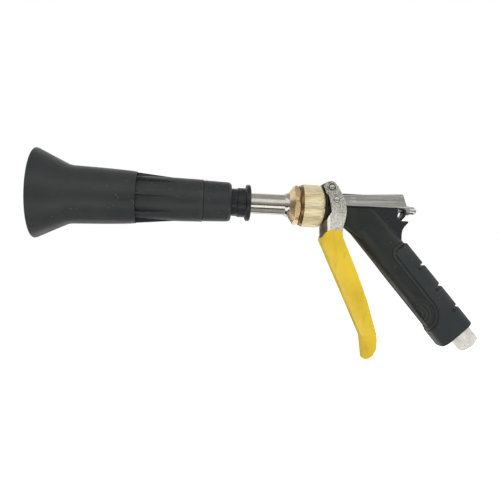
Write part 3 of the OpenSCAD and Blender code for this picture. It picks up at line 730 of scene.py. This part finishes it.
def handle_relief(co, normal):
    """Blends the flats beside the lever into the handle, and cuts the stepped panel at its end."""
    at, down = in_barrel(co), in_handle(co)
    side = np.abs(co[:, 1]) / MM
    narrow, growth, step, groove = 12.2, 3.4, 0.5, 0.6
    past_lever = np.maximum(smoothstep(110.5, 125, at[:, 0]), smoothstep(-24, -37, at[:, 2]))
    room = narrow + growth * past_lever
    wanted = np.where((at[:, 0] > 100) & (side > 12.0), np.minimum(side, room), side)
    wanted = squarer(down, wanted)
    flat = smoothstep(0.2, 0.5, np.abs(normal[:, 1])) * (side > 6)
    panel = from_panel(down)
    steps = sum(smoothstep(r + 0.25, r - 0.25, panel) - 0.5 * bump_at(panel, r + 0.6, 0.6)
                for r in PANEL_RINGS)
    wanted -= step * steps * flat * smoothstep(108, 122, down[:, 0])
    wanted -= groove * bump_at(block_edge(down), SHELL_LINE, 1.0) * flat * (down[:, 0] > 53)
    return sideways(co, wanted)


def pad_relief(co, normal):
    """A groove around the blocks, and a thinner rim on the layer they stand on."""
    groove, rim = 0.9, 1.2
    down = in_handle(co)
    edge = block_edge(down)
    wanted = squarer(down, np.abs(co[:, 1]) / MM)
    flat = smoothstep(0.2, 0.5, np.abs(normal[:, 1]))
    wanted -= flat * (groove * bump_at(edge, BLOCK_LINE, 1.1) + rim * smoothstep(3.7, 4.3, edge))
    return sideways(co, wanted)


def on_panel_step_highlights(at, normal, down):
    """The edges of the panel's steps, which get a painted highlight."""
    near = np.min([np.abs(from_panel(down) - ring) for ring in PANEL_RINGS], axis=0)
    return (near < 0.42) & (np.abs(at[:, 1]) > 5) & (down[:, 0] > 119) & (block_edge(down) > 5)


def on_front_housing(at, normal, down):
    """The housing between the union nut and the lever, painted near-black as shade in the gap there."""
    return (at[:, 0] < 92) & (at[:, 2] > -16)


def on_rear_web_shade(at, normal, down):
    """The narrow web behind the handle, under the yoke, painted darker as shade from the yoke."""
    return (np.abs(at[:, 1]) < 10.9) & (at[:, 0] > 100) & (at[:, 2] > -40) & (down[:, 2] > 11.6)


def on_shell_line(at, normal, down):
    """The groove in the shell around the blocks, painted dark as shade."""
    return ((np.abs(block_edge(down) - 4.6) < 0.5) & (down[:, 0] > 54)
            & (np.abs(at[:, 1]) > 9))


def on_block_line(at, normal, down):
    """The groove in the rubber around the blocks, painted dark as shade."""
    return (np.abs(block_edge(down) - BLOCK_LINE) < 0.45) & (np.abs(at[:, 1]) > 9)


def housing_and_handle():
    for half, node in (("left", "handle_shell_left"), ("right", "handle_shell_right")):
        name = "handle_half_" + half
        shell = new_piece(name, finer(name, node, 0.6, 3, handle_relief), handle_plastic,
                          "gun_body", [node], sharp=70)
        # painted highlight on the edges of the panel's steps
        paint(shell, painted_highlight_plastic, on_panel_step_highlights)
        # painted shade on the housing in the gap before the lever
        paint(shell, painted_shade_plastic, on_front_housing)
        # painted shade: the knob's darker plastic on the web under the yoke
        paint(shell, knob_plastic, on_rear_web_shade)
        # painted shade in the shell's groove round the blocks
        paint(shell, painted_shade_plastic, on_shell_line)
    blocks = new_piece("grip_blocks", finer("grip_blocks", "grip_pad", 0.54, 2, pad_relief), rubber,
                       "gun_body", ["grip_pad"], sharp=70)
    # painted shade in the rubber's groove round the blocks
    paint(blocks, painted_shade_plastic, on_block_line)


spray_head()
couplings()
inlet()
trigger()
housing_and_handle()

# the CAD nodes that no piece replaces: the ribbed core and the inner parts
NODE_LOOKS = {
    "shroud_core": black_plastic, "knob_o_ring": seal, "nozzle_tip": brass_polished,
    "nozzle_holder": brass_polished, "nozzle_o_ring": seal, "swirl_core": brass_polished,
    "union_seal": seal, "valve_body": brass_polished, "valve_seat": nylon, "valve_rod": stainless,
    "valve_cone": nylon, "return_spring": fixing_steel, "spring_seat": brass_polished,
    "stem_packing": nylon, "packing_nut": nickel, "rod_end_nut": fixing_steel,
    "handle_screws": fixing_steel, "inlet_pipe": nickel, "inlet_seal": seal,
    "pivot_bush": brass_polished, "pivot_nut": fixing_steel,
}
for node, look in NODE_LOOKS.items():
    mesh = frame["nodes"][node].data
    mesh.materials.clear()
    mesh.materials.append(look.material)


# ---------- stage ----------


SOFT_WHITE = (0.62, 0.63, 0.63)
# (height, brightness), where 0 is straight down, 0.5 level and 1 straight up
MIRRORED_BANDS = [
    (0.0, 0.42), (0.045, 0.40), (0.06, 0.06), (0.115, 0.06), (0.14, 1.35), (0.28, 1.35),
    (0.305, 0.06), (0.37, 0.08), (0.43, 0.28), (0.58, 0.40), (0.65, 0.95), (0.86, 0.92),
    (0.90, 0.40), (1.0, 0.40),
]
FLOOR_RADIUS = 6
FLOOR_GAP = 0.0005


def pale_floor():
    mesh = bpy.data.meshes.new("floor")
    work = bmesh.new()
    level = Matrix.Translation((0, 0, cad_box[0].z - FLOOR_GAP))
    bmesh.ops.create_circle(work, cap_ends=True, segments=96, radius=FLOOR_RADIUS, matrix=level)
    work.to_mesh(mesh)
    work.free()
    floor = bpy.data.objects.new("floor", mesh)
    bpy.context.scene.collection.objects.link(floor)
    pale = Look("pale_floor", Base_Color=(0.82, 0.82, 0.81), Roughness=0.9)
    pale.feed("Base Color", pale.ramp(pale.noise(3, 4), (0.3, (0.80, 0.80, 0.79)),
                                      (0.7, (0.84, 0.84, 0.83))))
    pale.set("Emission Color", (1.0, 1.0, 1.0))
    pale.set("Emission Strength", 0.5)
    mesh.materials.append(pale.material)
    floor.visible_glossy = False


def soft_lights():
    centre = (cad_box[0] + cad_box[1]) / 2
    for name, offset, size, power in (
        ("key", (-0.5, -1.0, 1.1), 1.2, 5), ("fill", (0.9, -0.9, 0.3), 1.2, 3),
        ("top", (0.1, 0.3, 1.4), 1.4, 3), ("back", (-0.6, 1.2, 0.7), 1.0, 3),
    ):
        data = bpy.data.lights.new(name, "AREA")
        data.shape, data.size, data.energy = "SQUARE", size, power
        light = bpy.data.objects.new(name, data)
        light.location = centre + Vector(offset)
        light.rotation_euler = (-Vector(offset)).to_track_quat("-Z", "Y").to_euler()
        light.visible_glossy = False
        bpy.context.scene.collection.objects.link(light)


def white_tent():
    """The world: white behind the gun, plain for the soft light, and banded by height for what
    the metal mirrors."""
    world = bpy.data.worlds.new("studio")
    bpy.context.scene.world = world
    world.use_nodes = True
    tree = world.node_tree
    nodes, links = tree.nodes, tree.links
    back = nodes["Background"]
    coords, split = nodes.new("ShaderNodeTexCoord"), nodes.new("ShaderNodeSeparateXYZ")
    height, ramp = nodes.new("ShaderNodeMapRange"), nodes.new("ShaderNodeValToRGB")
    links.new(coords.outputs["Generated"], split.inputs[0])
    height.inputs["From Min"].default_value = -1
    links.new(split.outputs["Z"], height.inputs["Value"])
    links.new(height.outputs[0], ramp.inputs["Fac"])
    marks = ramp.color_ramp.elements
    while len(marks) < len(MIRRORED_BANDS):
        marks.new(0.5)
    for mark, (at, shade) in zip(marks, MIRRORED_BANDS):
        mark.position, mark.color = at, (shade, shade * 0.99, shade * 0.965, 1)
    path, seen = nodes.new("ShaderNodeLightPath"), SOFT_WHITE
    for kind, color in (("Is Glossy Ray", ramp.outputs["Color"]), ("Is Camera Ray", (1, 1, 1))):
        pick = nodes.new("ShaderNodeMix")
        pick.data_type = "RGBA"
        links.new(path.outputs[kind], pick.inputs["Factor"])
        plug(tree, seen, pick.inputs[MIX_A])
        plug(tree, color, pick.inputs[MIX_B])
        seen = pick.outputs[MIX_RESULT]
    links.new(seen, back.inputs["Color"])
    back.inputs["Strength"].default_value = 1.0


LENS = 45.1
CAMERA_AT = (-57.5, -655.8, -49.3)
CAMERA_FORWARD, CAMERA_UP = (0.0905, 0.9959, 0), (-0.042, 0.0038, 0.9991)


def camera():
    """The photograph's viewpoint: level, five degrees from square to the barrel and leaning two,
    50 mm below the barrel's axis."""
    data = bpy.data.cameras.new("camera")
    data.lens, data.sensor_width = LENS, 36
    data.clip_start, data.clip_end = 0.01, 50
    made = bpy.data.objects.new("camera", data)
    forward = Vector(CAMERA_FORWARD).normalized()
    right = forward.cross(Vector(CAMERA_UP)).normalized()
    turn = Matrix((right, right.cross(forward), -forward)).transposed().to_4x4()
    made.matrix_world = Matrix.Translation(barrel(*CAMERA_AT)) @ turn
    bpy.context.scene.collection.objects.link(made)
    bpy.context.scene.camera = made


pale_floor()
soft_lights()
white_tent()
camera()
bpy.context.scene.view_settings.view_transform = "Standard"
